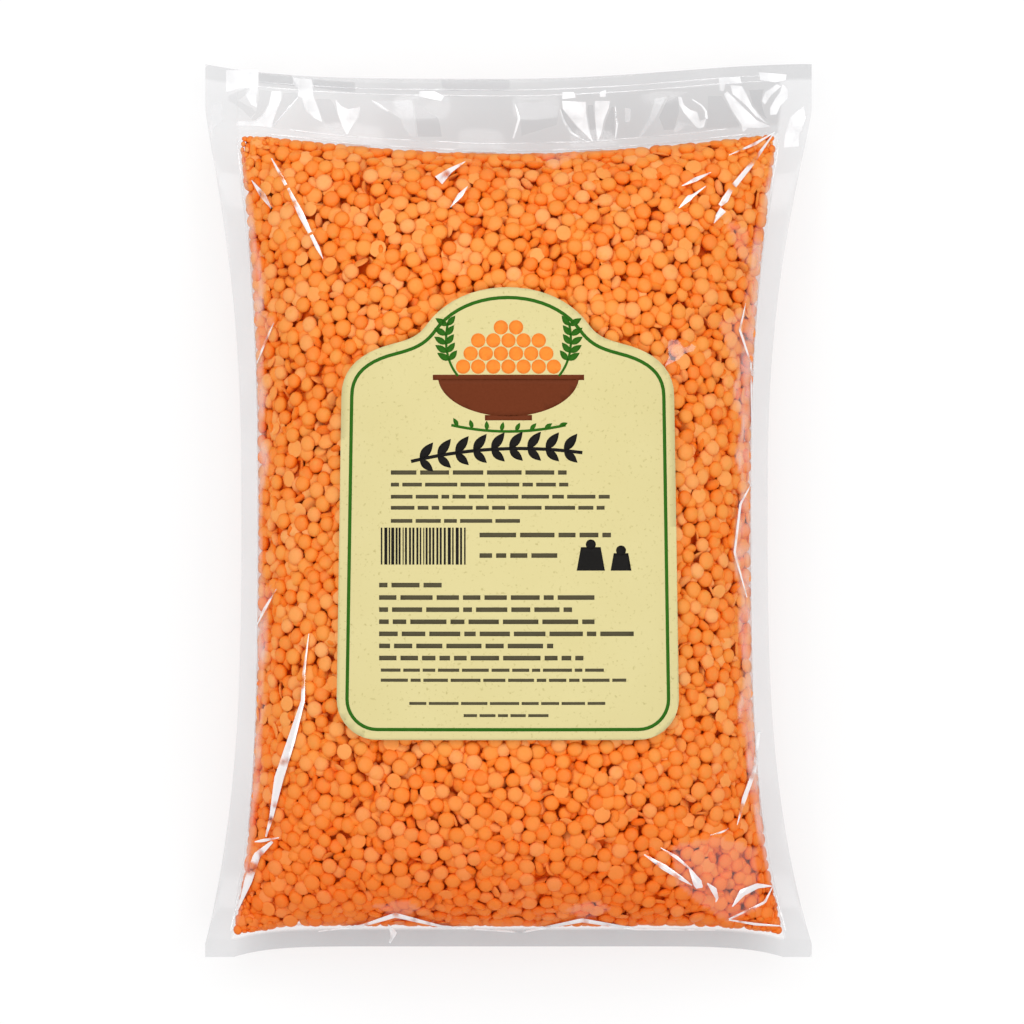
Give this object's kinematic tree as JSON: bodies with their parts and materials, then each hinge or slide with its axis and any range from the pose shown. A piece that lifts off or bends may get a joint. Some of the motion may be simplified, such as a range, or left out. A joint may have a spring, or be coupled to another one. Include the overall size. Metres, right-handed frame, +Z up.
{
  "type": "bag of lentils",
  "caption": "Clear film pouch of split red lentils, lying on its back, with flat seals on its sides, an empty film header and a paper label on its front.",
  "frame": {"origin": "middle of the pouch's outline, on the surface it lies on", "axes": "+X across the pouch, +Y along it towards the top seal, +Z up, out of the label"},
  "size_m": [0.182, 0.268, 0.0473],
  "materials": {
    "filled_pouch": "clear film over orange lentils",
    "label_paper": "uncoated cream paper",
    "film": "clear glossy film",
    "lentils": "dry split pulses",
    "lentils_pale": "dry split pulses, cut side",
    "ink_black": "printed ink",
    "ink_green": "printed ink",
    "ink_brown": "printed ink"
  },
  "bodies": {
    "root": {"pouch": "filled_pouch", "label": "label_paper"}
  },
  "joints": []
}
